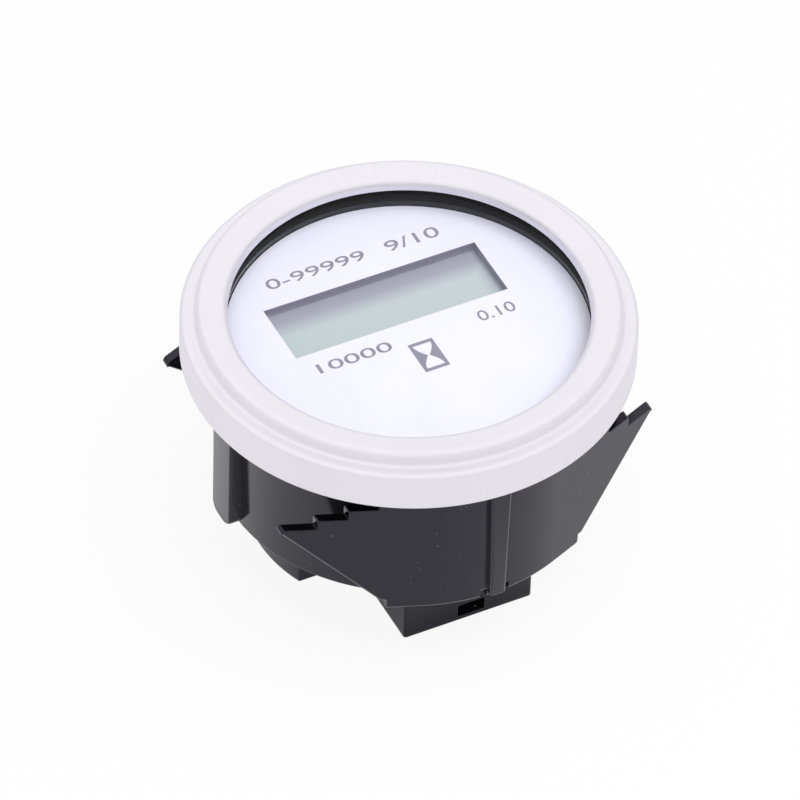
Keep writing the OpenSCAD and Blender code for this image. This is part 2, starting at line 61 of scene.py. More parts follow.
# Case
WALL = 1.8
BODY_R = 24.05
BODY_TOP_R = 24.45
BODY_DEPTH = 19.1
FLOOR_FRONT = 2 - BODY_DEPTH
FLANGE_R = BEZEL_R - SHEET - FIT_GAP
FLANGE_BACK = SHEET
FLANGE_TOP = SHOULDER_H - SHEET - FIT_GAP
UPSTAND_R = RING_OUTER_R - SHEET - FIT_GAP
UPSTAND_TOP = RING_H - RING_FALL - SHEET - 2 * POCKET_GAP
LENS_POCKET_R = SIGHT_R + 1.75 + POCKET_GAP
GASKET_SEAT = LENS_FACE - 3
CAVITY_R = BODY_R - WALL
DIAL_POCKET_R = CAVITY_R + 0.7
DIAL_BACK = 0.8
DIAL_FACE = 1.6
ROOT_R = BODY_R - WALL / 2
ROOT_H = FLANGE_BACK + WALL / 2
REAR_ROOT = 0.8 - BODY_DEPTH

# Ribs, rails and wings
RIB_R = 25.8
RIB_HALF = 2.5
RIB_LEN = 19.0
RIB_CORNER = 1.2
RAIL_R = 26.1
RAIL_HALF = 1.45
RAIL_END_HALF = 1.05
RAIL_LEN = 19.85
BAR_FOOT = 0.25
BAR_EDGE = 0.3
WING_R = 25.1
WING_T = 1.3
WING_ANGLE = np.radians(21.3)
WING_LEN = 17.8
WING_DEPTH = 20.7
WING_FLAT = 4.5
WING_STEP = 1.4
WING_LEDGE = 0.7
WING_TOP_EDGE = 0.1
WING_LOW_EDGE = 0.5
WING_CORNER = 0.3
TIP_DEPTH = 6.1
TIP_H = 0.6
TIP_R = 0.5
TIP_RUN = 4.5
TOOTH_RUN = 3.8
TOOTH_RISE = 1.45
TEETH = 4
RELIEF = (RAIL_END_HALF, RAIL_END_HALF + 0.95)
RELIEF_TOP = 1.1 - WING_DEPTH
EDGE_LEAD = 0.04

# Rear step and connector
STEP_R = 20.2
STEP_DEPTH = 26.4
STEP_FRONT = -8.0
STEP_EDGE = 0.3
SHROUD_WALL = 1.5
SHROUD_HALF = 8.95
SHROUD_FRONT = -18.45
SHROUD_BACK = STEP_FRONT + WALL / 2
SHROUD_DEPTH = 31.05
SOCKET_HALF = SHROUD_HALF - SHROUD_WALL
SOCKET_FRONT = SHROUD_FRONT + SHROUD_WALL
SOCKET_BACK = STEP_FRONT - SHROUD_WALL
LATCH = (-1.475, 2.275)
LATCH_LOW = 0.75 - SHROUD_DEPTH
LATCH_TOP = LATCH_LOW + 1.9
LATCH_RAMP = LATCH_LOW + 0.9

# Dial
PRINT_T = 0.02
STROKE_GROWTH = 0.003
HOURGLASS_X = 0.47
HOURGLASS_Y = (-7.25, -2.05)
HOURGLASS_HALF = 1.68
HOURGLASS_BAR = 0.5
HOURGLASS_NECK = 0.13
HOURGLASS_BULB = 1.22
# Plain figures on the dial: name, figures, left, right, low and high
PRINTED_NUMBERS = (
    ("figures_upper_left", "0-99999", -12.4, 1.2, 14.05, 15.85),
    ("figures_upper_right", "9/10", 4.15, 11.5, 13.95, 15.85),
    ("figures_lower_left", "10000", -13.1, -3.0, -1.97, -0.28),
    ("figures_lower_right", "0.10", 9.05, 14.1, -2.1, -0.28),
)


def unit(vectors):
    """Each vector divided by its own length."""
    return vectors / np.linalg.norm(vectors, axis=-1, keepdims=True)


def rounded_outline(points, radii, steps=7, closed=True):
    """Outline with its corners rounded: each becomes the arc of a circle that touches both of its sides.

    The arc's centre lies on the corner's bisector, radius / sin(half the corner's angle) from the corner,
    and the arc turns evenly from the first side's touching point to the second's. A short straight lead on
    each side keeps the flats flat when they are shaded smooth. A radius of 0 keeps the corner.
    """
    p = np.asarray(points, float)
    r = np.broadcast_to(np.asarray(radii, float), len(p)).copy()
    if not closed:
        r[[0, -1]] = 0
    to_last = unit(np.roll(p, 1, 0) - p)
    to_next = unit(np.roll(p, -1, 0) - p)
    half = 0.5 * np.arccos(np.clip((to_last * to_next).sum(1), -0.999999, 0.999999))
    half = np.where(r > 0, half, np.pi / 4)
    bisector = np.where(r[:, None] > 0, unit(to_last + to_next + 1e-12), 0)
    centre = p + bisector * (r / np.sin(half))[:, None]
    first = p + to_last * (r / np.tan(half))[:, None] - centre
    second = p + to_next * (r / np.tan(half))[:, None] - centre
    sweep = np.pi - 2 * half
    t = np.linspace(0, 1, steps)
    a = np.sin(np.outer(sweep, 1 - t)) / np.sin(sweep)[:, None]
    b = np.sin(np.outer(sweep, t)) / np.sin(sweep)[:, None]
    arcs = centre[:, None] + a[..., None] * first[:, None] + b[..., None] * second[:, None]
    lead = EDGE_LEAD * (r > 0)[:, None]
    line = np.concatenate([arcs[:, :1] + (lead * to_last)[:, None], arcs,
                           arcs[:, -1:] + (lead * to_next)[:, None]], 1).reshape(-1, 2)
    step = np.linalg.norm(np.diff(line, axis=0), axis=1)
    return line[np.r_[True, step > 1e-6]]


def box_sections(low_a, high_a, low_b, high_b, radius, steps=5):
    """Rectangular sections with rounded corners, one for each entry of the four limits, in a and b.

    Each corner's arc has its centre one radius inside both sides and turns a quarter of a circle, with a
    short straight lead before and after it. The corners go round from the one where a and b are high.
    """
    limits = np.broadcast_arrays(*(np.asarray(v, float) for v in (low_a, high_a, low_b, high_b)))
    la, ha, lb, hb = (v[:, None, None] for v in limits)
    start = np.radians([0, 90, 180, 270])[:, None]
    turn = start + np.linspace(0, np.pi / 2, steps)
    right = np.array([1, 0, 0, 1])[:, None]
    upper = np.array([1, 1, 0, 0])[:, None]
    room = np.minimum(ha - la, hb - lb) / 2
    reach = np.minimum(np.reshape(radius, (-1, 1)), room)
    lead = np.minimum(EDGE_LEAD, room - reach)
    a = np.where(right, ha - reach, la + reach) + reach * np.cos(turn)
    b = np.where(upper, hb - reach, lb + reach) + reach * np.sin(turn)
    a = np.concatenate([a[..., :1] + lead * np.sin(start), a, a[..., -1:] - lead * np.cos(start)], -1)
    b = np.concatenate([b[..., :1] - lead * np.cos(start), b, b[..., -1:] - lead * np.sin(start)], -1)
    count = len(limits[0])
    return a.reshape(count, -1), b.reshape(count, -1)


def grid_faces(rows, columns, wrap_rows=False, wrap_columns=False):
    """Corners of every cell of a grid whose points are numbered row by row, as rows of four indices."""
    i = np.arange(rows if wrap_rows else rows - 1)[:, None]
    j = np.arange(columns if wrap_columns else columns - 1)[None, :]
    i2, j2 = (i + 1) % rows, (j + 1) % columns
    cells = np.stack([i * columns + j, i * columns + j2, i2 * columns + j2, i2 * columns + j], -1)
    return cells


def piece(name, points, faces, uv=None, caps=(), sharp=35):
    """Object at the origin from points in millimetres, cells of four corners, and caps of any length.

    Doubled points are merged, so poles and seams are closed, and the faces are turned outwards.
    """
    mesh = bpy.data.meshes.new(name)
    flat = np.asarray(points, float).reshape(-1, 3) * MM
    mesh.from_pydata(flat.tolist(), [], np.asarray(faces).reshape(-1, 4).tolist() + [list(c) for c in caps])
    if uv is not None:
        corner = np.zeros(len(mesh.loops), np.int32)
        mesh.loops.foreach_get("vertex_index", corner)
        layer = mesh.uv_layers.new(name="UVMap")
        layer.data.foreach_set("uv", np.asarray(uv, np.float32).reshape(-1, 2)[corner].ravel())
    work = bmesh.new()
    work.from_mesh(mesh)
    bmesh.ops.remove_doubles(work, verts=work.verts, dist=1e-7)
    bmesh.ops.dissolve_degenerate(work, edges=work.edges, dist=1e-7)
    bmesh.ops.recalc_face_normals(work, faces=work.faces)
    work.to_mesh(mesh)
    work.free()
    mesh.polygons.foreach_set("use_smooth", np.ones(len(mesh.polygons), bool))
    mesh.set_sharp_from_angle(angle=np.radians(sharp))
    made = bpy.data.objects.new(name, mesh)
    bpy.context.scene.collection.objects.link(made)
    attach(made, "root")
    return made


def turned(name, outline, segments=288, closed=True, sharp=35):
    """Surface of revolution: at turn u and place v of the outline the point is (r cos u, r sin u, z).

    The UV map holds the turn as a share of the circle and the distance along the outline in centimetres.
    """
    line = np.vstack([outline, outline[:1]]) if closed else np.asarray(outline)
    turn = np.linspace(0, 2 * np.pi, segments + 1)[:, None]
    r, z = line[:, 0], line[:, 1]
    points = np.stack([r * np.cos(turn), r * np.sin(turn), np.broadcast_to(z, (len(turn), len(z)))], -1)
    along = np.r_[0, np.cumsum(np.linalg.norm(np.diff(line, axis=0), axis=1))]
    uv = np.stack(np.broadcast_arrays(turn / (2 * np.pi), along / 10), -1)
    return piece(name, points, grid_faces(*points.shape[:2]), uv, sharp=sharp)


def tube(name, points):
    """Closed piece from rows of points: each row is a ring, and the first and the last are capped."""
    rows, columns = points.shape[:2]
    ring = np.arange(columns)
    caps = [ring, ring + (rows - 1) * columns]
    return piece(name, points, grid_faces(rows, columns, wrap_columns=True), caps=caps)


def bezel_ring():
    """Rolled sheet: a closed section of one sheet's thickness, with a crest that falls towards the lens."""
    slope = RING_FALL / RING_W
    lean = np.hypot(1, slope)

    def crest(radius, inset):
        return RING_H - slope * (RING_OUTER_R - radius) - inset * lean

    inner, outer = SIGHT_R + SHEET, RING_OUTER_R - SHEET
    outline = rounded_outline([
        (SIGHT_R, LENS_FACE), (SIGHT_R, crest(SIGHT_R, 0)),
        (RING_OUTER_R, RING_H), (RING_OUTER_R, SHOULDER_H),
        (BEZEL_R, SHOULDER_H), (BEZEL_R, 0), (LIP_R, 0), (LIP_R, SHEET), (BEZEL_R - SHEET, SHEET),
        (BEZEL_R - SHEET, SHOULDER_H - SHEET), (outer, SHOULDER_H - SHEET), (outer, crest(outer, SHEET)),
        (inner, crest(inner, SHEET)), (inner, LENS_FACE)],
        [0.15, 1, 0.8, 0.6, 0.7, 0.4, 0.15, 0.15, 0.05, 0.1, 0, 0.2, 0.4, 0.15], steps=9)
    return turned("bezel_ring", outline)


def case_body():
    """Turned section of the moulding: drafted wall, rear wall, flange and the pockets behind the lens."""
    outline = rounded_outline([
        (0, -BODY_DEPTH), (BODY_R, -BODY_DEPTH), (BODY_TOP_R, FLANGE_BACK), (FLANGE_R, FLANGE_BACK),
        (FLANGE_R, FLANGE_TOP), (UPSTAND_R, FLANGE_TOP), (UPSTAND_R, UPSTAND_TOP),
        (LENS_POCKET_R, UPSTAND_TOP), (LENS_POCKET_R, GASKET_SEAT), (DIAL_POCKET_R, GASKET_SEAT),
        (DIAL_POCKET_R, DIAL_BACK),
        (CAVITY_R, DIAL_BACK), (CAVITY_R, FLOOR_FRONT), (0, FLOOR_FRONT)],
        [0, 0.25, 0.3, 0.1, 0.1, 0.1, 0.1, 0.1, 0, 0.1, 0, 0.1, 0.3, 0], closed=False)
    return turned("case_body", outline, closed=False)


def wing_limits():
    """Distance along the path from the rail, with the upper and the lower edge there, for one wing.

    The path follows the arc round the body and then the straight plate. The upper edge falls in teeth to a
    rounded tip. The lower edge runs level, steps up and slants to the tip. Each edge is read at the other's
    corners too, and an upright stretch has two entries at one distance.
    """
    arc = WING_R * WING_ANGLE
    notch = WING_R * np.arcsin(np.array(RELIEF) / WING_R)
    near = np.array([0, notch[0], notch[0], notch[1], notch[1]])
    near_low = np.array([-WING_DEPTH, -WING_DEPTH, RELIEF_TOP, RELIEF_TOP, -WING_DEPTH])
    round_body = np.linspace(notch[1], arc, 14)[1:]
    tops = -TIP_DEPTH + TOOTH_RISE * np.arange(TEETH - 1, -1, -1)
    starts = WING_LEN - TIP_RUN - TOOTH_RUN * np.arange(TEETH - 1, -1, -1)
    ends = np.r_[starts[1:], WING_LEN]
    tip_low = -TIP_DEPTH - TIP_H
    corners = [(0, ROOT_H), (starts[0], ROOT_H)]
    corners += [corner for k in range(TEETH) for corner in ((starts[k], tops[k]), (ends[k], tops[k]))]
    corners.append((WING_LEN, tip_low + EDGE_LEAD))
    radii = np.full(len(corners), WING_CORNER)
    radii[2::2] = WING_TOP_EDGE
    radii[-2] = TIP_R
    upper = rounded_outline(corners, radii, steps=5, closed=False)
    ledge = WING_STEP - WING_DEPTH
    lower = rounded_outline([(0, -WING_DEPTH), (WING_FLAT, -WING_DEPTH), (WING_FLAT, ledge),
                             (WING_FLAT + WING_LEDGE, ledge), (WING_LEN, tip_low)],
                            WING_CORNER, steps=5, closed=False)
    plate = np.r_[upper[:, 0], lower[:, 0]]
    order = np.argsort(plate, kind="stable")
    high = np.r_[upper[:, 1], np.interp(lower[:, 0], *upper.T)][order][1:]
    low = np.r_[np.interp(upper[:, 0], *lower.T), lower[:, 1]][order][1:]
    level = np.full(len(near) + len(round_body), ROOT_H)
    return (np.r_[near, round_body, arc + plate[order][1:]], np.r_[level, high],
            np.r_[near_low, np.full(len(round_body), -WING_DEPTH), low])


def snap_wings(name, turn):
    """A pair of wings: a rounded rectangular section carried along an arc and its two straight tangents.

    At distance d from the rail the path has turned by min(d / R, the wing's angle) and has run on straight
    by what is left. The section reaches between the two edges, and from the outer face inwards by the wall:
    along the radius on the arc, and on the plate in the direction that the mould opens.
    """
    along, high, lower = wing_limits()
    along = np.r_[-along[::-1], along[1:]]
    high = np.r_[high[::-1], high[1:]]
    lower = np.r_[lower[::-1], lower[1:]]
    bend = np.clip(along / WING_R, -WING_ANGLE, WING_ANGLE)
    straight = along - bend * WING_R
    edges = [WING_TOP_EDGE, WING_TOP_EDGE, WING_LOW_EDGE, WING_LOW_EDGE]
    depth, z = box_sections(np.zeros(len(along)), WING_T, lower, high, edges)
    out = np.stack([np.sin(bend), -np.cos(bend)], -1)
    ahead = np.stack([np.cos(bend), np.sin(bend)], -1)
    on_plate = np.clip(np.abs(straight), 0, 1)[:, None]
    inward = (on_plate - 1) * out + on_plate * (0, 1 / np.cos(WING_ANGLE))
    path = WING_R * out + straight[:, None] * ahead
    plan = path[:, None] + depth[..., None] * inward[:, None]
    c, s = np.cos(turn), np.sin(turn)
    points = np.stack([c * plan[..., 0] - s * plan[..., 1], s * plan[..., 0] + c * plan[..., 1], z], -1)
    return tube(name, points)


def upright_bar(name, turn, outer_r, heights, halves):
    """Bar up the side of the body: a rounded rectangular section carried down Z, as wide as halves says.

    The last rows draw in by the foot's radius times 1 - cos and go down by it times sin, which rounds the
    foot. Each row's outer side follows the circle of the outer radius.
    """
    q = np.linspace(0, np.pi / 2, 5)[1:]
    z = np.r_[heights, heights[-1] - BAR_FOOT * np.sin(q)]
    draw = np.r_[np.zeros(len(heights)), BAR_FOOT * (1 - np.cos(q))]
    half = np.r_[halves, np.full(len(q), halves[-1])] - draw
    x, y = box_sections(np.full(len(z), ROOT_R), outer_r - draw, -half, half, BAR_EDGE)
    x = x - (outer_r - np.sqrt(outer_r ** 2 - y ** 2))
    c, s = np.cos(turn), np.sin(turn)
    points = np.stack([c * x - s * y, s * x + c * y, np.broadcast_to(z[:, None], x.shape)], -1)
    return tube(name, points)


def broad_rib(name, turn):
    """Upright bar whose half width narrows at the foot along a quarter circle."""
    q = np.linspace(0, np.pi / 2, 9)
    foot = BAR_FOOT - RIB_LEN + RIB_CORNER * (1 - np.sin(q))
    halves = np.r_[RIB_HALF, RIB_HALF - RIB_CORNER * (1 - np.cos(q))]
    return upright_bar(name, turn, RIB_R, np.r_[ROOT_H, foot], halves)


def locating_rail(name, turn):
    """Upright bar whose half width tapers evenly to the foot."""
    heights = np.array([ROOT_H, BAR_FOOT - RAIL_LEN])
    return upright_bar(name, turn, RAIL_R, heights, np.array([RAIL_HALF, RAIL_END_HALF]))


def rear_step():
    """Round block with a flat front: a D drawn in by the edge radius, then pushed out along its normal.

    The normal is radial on the arc, points to -Y on the flat and turns evenly through each corner. Down the
    side the push stays whole. Round the lower edge it falls with the cosine, and the height with the sine.
    """
    inner_r = STEP_R - STEP_EDGE
    inner_front = STEP_FRONT + STEP_EDGE
    low = np.arcsin(inner_front / inner_r)
    sweep = np.linspace(low, np.pi - low, 120)
    turns = np.linspace(0, 1, 6)[1:-1]
    flat = -np.pi / 2
    normal = np.r_[sweep, (np.pi - low) + turns * (3 * np.pi / 2 - (np.pi - low)), 3 * np.pi / 2,
                   flat, flat + turns * (low - flat)]
    left = np.full(len(turns) + 1, sweep[-1])
    right = np.full(len(turns) + 1, sweep[0])
    at = np.r_[sweep, left, right]
    base = inner_r * np.stack([np.cos(at), np.sin(at)], -1)
    q = np.linspace(0, np.pi / 2, 7)
    push = np.r_[STEP_EDGE, STEP_EDGE * np.cos(q)]
    z = np.r_[REAR_ROOT, STEP_EDGE - STEP_DEPTH - STEP_EDGE * np.sin(q)]
    way = np.stack([np.cos(normal), np.sin(normal)], -1)
    plan = base[None] + push[:, None, None] * way[None]
    points = np.concatenate([plan, np.broadcast_to(z[:, None, None], plan.shape[:2] + (1,))], -1)
    return tube("rear_step", points)


def rounded_rectangle(half, front, back, radius, steps=6):
    """Plan of a box with rounded corners, and two points on its front for the latch window's sides."""
    centres = np.array([(-half + radius, front + radius), (half - radius, front + radius),
                        (half - radius, back - radius), (-half + radius, back - radius)])
    turn = np.radians([180, 270, 0, 90])[:, None] + np.linspace(0, np.pi / 2, steps)
    arcs = centres[:, None] + radius * np.stack([np.cos(turn), np.sin(turn)], -1)
    window = np.array([(LATCH[0], front), (LATCH[1], front)])
    return np.vstack([arcs[0], window, arcs[1:].reshape(-1, 2)]), steps


def socket_shroud():
    """Open box: the wall's section carried round a rounded rectangle, from the outer plan to the inner one.

    A point is the outer plan's plus a share of the way to the inner plan's. The share and the height follow
    the wall down the outside, round the rim and up the inside. The cells of the latch window are left out,
    and four cells line it, the lowest sloping as a ramp.
    """
    outer, steps = rounded_rectangle(SHROUD_HALF, SHROUD_FRONT, SHROUD_BACK, 0.4)
    inner, _ = rounded_rectangle(SOCKET_HALF, SOCKET_FRONT, SOCKET_BACK, 0.3)
    rim, lip = 0.16, 0.22
    q = np.linspace(0, np.pi / 2, 5)
    share = np.r_[0, 0, 0, rim * (1 - np.cos(q)), 1 - rim * (1 - np.cos(q[::-1])), 1, 1, 1]
    z = np.r_[REAR_ROOT, LATCH_TOP, LATCH_LOW, lip - SHROUD_DEPTH - lip * np.sin(q),
              lip - SHROUD_DEPTH - lip * np.sin(q[::-1]), LATCH_RAMP, LATCH_TOP, -BODY_DEPTH - 0.05]
    plan = outer[None] + share[:, None, None] * (inner - outer)[None]
    points = np.concatenate([plan, np.broadcast_to(z[:, None, None], plan.shape[:2] + (1,))], -1)
    rows, columns = points.shape[:2]
    cells = grid_faces(rows, columns, wrap_columns=True)
    keep = np.ones(cells.shape[:2], bool)
    left, right = steps, steps + 1
    top_in, ramp_in = rows - 2, rows - 3
    keep[[1, ramp_in], left] = False

    def at(row, column):
        return row * columns + column

    lining = [[at(1, left), at(1, right), at(top_in, right), at(top_in, left)],
              [at(2, right), at(2, left), at(ramp_in, left), at(ramp_in, right)],
              [at(2, left), at(1, left), at(top_in, left), at(ramp_in, left)],
              [at(1, right), at(2, right), at(ramp_in, right), at(top_in, right)]]
    ring = np.arange(columns)
    return piece("socket_shroud", points, np.vstack([cells[keep], lining]),
                 caps=[ring, ring + (rows - 1) * columns], sharp=30)


case_pieces = [case_body(), rear_step(), socket_shroud()]
for index, clock in enumerate(("six", "twelve")):
    half_turn = index * np.pi
    case_pieces.append(snap_wings(f"snap_wings_{clock}", half_turn))
    case_pieces.append(locating_rail(f"rail_{clock}", half_turn - np.pi / 2))
for index, clock in enumerate(("three", "nine")):
    case_pieces.append(broad_rib(f"rib_{clock}", index * np.pi))
for made in case_pieces:
    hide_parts("case")
bezel = bezel_ring()
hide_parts("bezel")


def print_outline(name, columns, rows):
    """Thin film of ink on the dial: a flat grid and its copy one film above it, walled at the rim."""
    top = np.stack([columns, rows, np.full(columns.shape, DIAL_FACE + PRINT_T)], -1)
    low = top - (0, 0, PRINT_T)
    m, n = columns.shape
    upper = grid_faces(m, n).reshape(-1, 4)
    rim = np.r_[np.arange(n), np.arange(2, m + 1) * n - 1, (m - 1) * n + np.arange(n - 2, -1, -1),
                np.arange(m - 2, 0, -1) * n]
    after = np.roll(rim, -1)
    wall = np.stack([rim, after, after + m * n, rim + m * n], -1)
    made = piece(name, np.vstack([top.reshape(-1, 3), low.reshape(-1, 3)]),
                 np.vstack([upper, upper[:, ::-1] + m * n, wall]))
    return made


def hourglass_half(name, side):
    """Half of the box round the hourglass, from the box's side in to the glass.

    The glass's half width grows from its neck with the sine of the height above it, and is nothing in the
    bars across the ends.
    """
    low, high, half_box = HOURGLASS_Y[0], HOURGLASS_Y[1], HOURGLASS_HALF
    mid = (low + high) / 2
    bulb = (high - low) / 2 - HOURGLASS_BAR
    rise = np.linspace(-1, 1, 49)
    width = HOURGLASS_NECK + (HOURGLASS_BULB - HOURGLASS_NECK) * np.sin(np.abs(rise) * np.pi / 2)
    y = np.r_[low, mid - bulb, mid + bulb * rise, mid + bulb, high]
    width = np.r_[0, 0, width, 0, 0]
    share = np.linspace(0, 1, 3)
    x = HOURGLASS_X + side * (half_box + share[None, :] * (width - half_box)[:, None])
    return print_outline(name, x, np.broadcast_to(y[:, None], x.shape))


def printed_number(name, body, left, right, low, high):
    """Plain figures as a thin film of ink, stretched to fill a rectangle of the dial."""
    curve = bpy.data.curves.new(name, "FONT")
    curve.body = body
    curve.extrude = 0.01
    curve.offset = STROKE_GROWTH
    curve.resolution_u = 6
    carrier = bpy.data.objects.new(name, curve)
    mesh = bpy.data.meshes.new_from_object(carrier)
    bpy.data.objects.remove(carrier)
    co = np.zeros(len(mesh.vertices) * 3, np.float32)
    mesh.vertices.foreach_get("co", co)
    co = co.reshape(-1, 3)
    least, most = co.min(0), co.max(0)
    share = (co - least) / (most - least)
    lowest = np.array([left, low, DIAL_FACE])
    size = np.array([right - left, high - low, PRINT_T])
    mesh.vertices.foreach_set("co", ((lowest + share * size) * MM).astype(np.float32).ravel())
    work = bmesh.new()
    work.from_mesh(mesh)
    bmesh.ops.remove_doubles(work, verts=work.verts, dist=1e-8)
    bmesh.ops.recalc_face_normals(work, faces=work.faces)
    work.to_mesh(mesh)
    work.free()
    mesh.update()
    made = bpy.data.objects.new(name, mesh)
    bpy.context.scene.collection.objects.link(made)
    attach(made, "root")
    return made


ink_pieces = [hourglass_half("hourglass_left", -1), hourglass_half("hourglass_right", 1)]
ink_pieces += [printed_number(*figures) for figures in PRINTED_NUMBERS]


def add(tree, kind, at=None, **settings):
    """Node of a kind: at gives its inputs as values or sockets, and keywords set its attributes."""
    made = tree.nodes.new("ShaderNode" + kind)
    for key, value in (at or {}).items():
        if isinstance(value, bpy.types.NodeSocket):
            tree.links.new(value, made.inputs[key])
        else:
            made.inputs[key].default_value = value
    for key, value in settings.items():
        setattr(made, key, value)
    return made


def maths(tree, operation, a, b=0.0, clamp=False):
    """Result of a Math node on two values or sockets."""
    return add(tree, "Math", {0: a, 1: b}, operation=operation, use_clamp=clamp).outputs[0]


def mixed(tree, share, a, b):
    """Colour between a and b by a share."""
    made = tree.nodes.new("ShaderNodeMix")
    made.data_type = "RGBA"
    for index, value in ((0, share), (6, a), (7, b)):
        if isinstance(value, bpy.types.NodeSocket):
            tree.links.new(value, made.inputs[index])
        else:
            made.inputs[index].default_value = value
    return made.outputs[2]


def ranged(tree, value, low, high, to_low=0.0, to_high=1.0):
    """Value carried from one range to another and held inside it."""
    at = {"Value": value, "From Min": low, "From Max": high, "To Min": to_low, "To Max": to_high}
    return add(tree, "MapRange", at).outputs[0]


def effect(name, inputs, outputs):
    """Empty shader node group with named inputs and outputs, its input node and its output node."""
    tree = bpy.data.node_groups.new(name, "ShaderNodeTree")
    for label, kind, value in inputs:
        made = tree.interface.new_socket(label, in_out="INPUT", socket_type="NodeSocket" + kind)
        if value is not None:
            made.default_value = value
    for label, kind in outputs:
        tree.interface.new_socket(label, in_out="OUTPUT", socket_type="NodeSocket" + kind)
    return tree, tree.nodes.new("NodeGroupInput"), tree.nodes.new("NodeGroupOutput")


def placed(tree, group, **at):
    """A node group placed in a material with its own values."""
    made = tree.nodes.new("ShaderNodeGroup")
    made.node_tree = group
    for key, value in at.items():
        if isinstance(value, bpy.types.NodeSocket):
            tree.links.new(value, made.inputs[key])
        else:
            made.inputs[key].default_value = value
    return made.outputs


def fine_grain_group():
    """Grain of a finish: fine noise over coarse noise as a height, and slow patches as a shade."""
    tree, given, result = effect("fine_grain", [("Place", "Vector", None), ("Scale", "Float", 5000.0)],
                                 [("Height", "Float"), ("Shade", "Float")])
    place, scale = given.outputs["Place"], given.outputs["Scale"]
    coarser = maths(tree, "MULTIPLY", scale, 0.21)
    slow = maths(tree, "MULTIPLY", scale, 0.03)
    fine = add(tree, "TexNoise", {"Vector": place, "Scale": scale, "Detail": 3.0}).outputs["Fac"]
    coarse = add(tree, "TexNoise", {"Vector": place, "Scale": coarser}).outputs["Fac"]
    patch = add(tree, "TexNoise", {"Vector": place, "Scale": slow, "Detail": 4.0}).outputs["Fac"]
    height = maths(tree, "ADD", maths(tree, "MULTIPLY", fine, 0.6), maths(tree, "MULTIPLY", coarse, 0.4))
    tree.links.new(height, result.inputs["Height"])
    tree.links.new(ranged(tree, patch, 0.3, 0.7), result.inputs["Shade"])
    return tree


def dust_group():
    """Dust: round specks of mixed size, one in some of the cells of two cell patterns, as a mask."""
    tree, given, result = effect("settled_dust", [("Place", "Vector", None), ("Scale", "Float", 700.0),
                                                  ("Share", "Float", 0.1)], [("Mask", "Float")])
    found = None
    place = given.outputs["Place"]
    for size in (1.0, 2.3):
        scale = maths(tree, "MULTIPLY", given.outputs["Scale"], size)
        cells = add(tree, "TexVoronoi", {"Vector": place, "Scale": scale, "Randomness": 1.0})
        chance = add(tree, "SeparateColor", {"Color": cells.outputs["Color"]}).outputs
        chosen = maths(tree, "LESS_THAN", chance[0], given.outputs["Share"])
        reach = ranged(tree, chance[1], 0.0, 1.0, 0.03, 0.09)
        speck = maths(tree, "LESS_THAN", cells.outputs["Distance"], reach)
        mask = maths(tree, "MULTIPLY", chosen, speck)
        found = mask if found is None else maths(tree, "MAXIMUM", found, mask)
    tree.links.new(found, result.inputs["Mask"])
    return tree


def painted_edge_highlight_group():
    """Painted highlight on edges: how far the normal is from one rounded over a small reach, broken up by
    noise.
    """
    tree, given, result = effect("painted_edge_highlight", [("Place", "Vector", None), ("Scale", "Float", 900.0)],
                                 [("Mask", "Float")])
    rounded = add(tree, "Bevel", {"Radius": HIGHLIGHT_REACH * MM}, samples=6).outputs["Normal"]
    plain = add(tree, "NewGeometry").outputs["Normal"]
    facing = add(tree, "VectorMath", {0: rounded, 1: plain}, operation="DOT_PRODUCT").outputs["Value"]
    turned_by = maths(tree, "SUBTRACT", 1.0, facing)
    noise = add(tree, "TexNoise", {"Vector": given.outputs["Place"], "Scale": given.outputs["Scale"],
                                   "Detail": 3.0}).outputs["Fac"]
    mask = maths(tree, "MULTIPLY", ranged(tree, turned_by, 0.02, 0.2), ranged(tree, noise, 0.35, 0.6))
    tree.links.new(mask, result.inputs["Mask"])
    return tree


# Reach of the painted edge highlight, in millimetres
HIGHLIGHT_REACH = 0.22
FINE_GRAIN = fine_grain_group()
SETTLED_DUST = dust_group()
EDGE_HIGHLIGHT = painted_edge_highlight_group()


def finish(name, **constants):
    """Material whose Principled BSDF has plain values on its own sockets, and its object coordinates."""
    material = bpy.data.materials.new(name)
    material.use_nodes = True
    tree = material.node_tree
    shader = tree.nodes["Principled BSDF"]
    for key, value in constants.items():
        shader.inputs[key.replace("_", " ")].default_value = value
    place = add(tree, "TexCoord").outputs["Object"]
    return material, tree, shader, place


def bumped(tree, shader, height, strength, distance):
    """Normal of the shader from a height."""
    bump = add(tree, "Bump", {"Height": height, "Strength": strength, "Distance": distance})
    tree.links.new(bump.outputs["Normal"], shader.inputs["Normal"])


def colour(r, g, b):
    """Linear colour with full alpha from display values between 0 and 255."""
    v = np.array([r, g, b]) / 255
    linear = np.where(v <= 0.04045, v / 12.92, ((v + 0.055) / 1.055) ** 2.4)
    return (*linear.tolist(), 1.0)


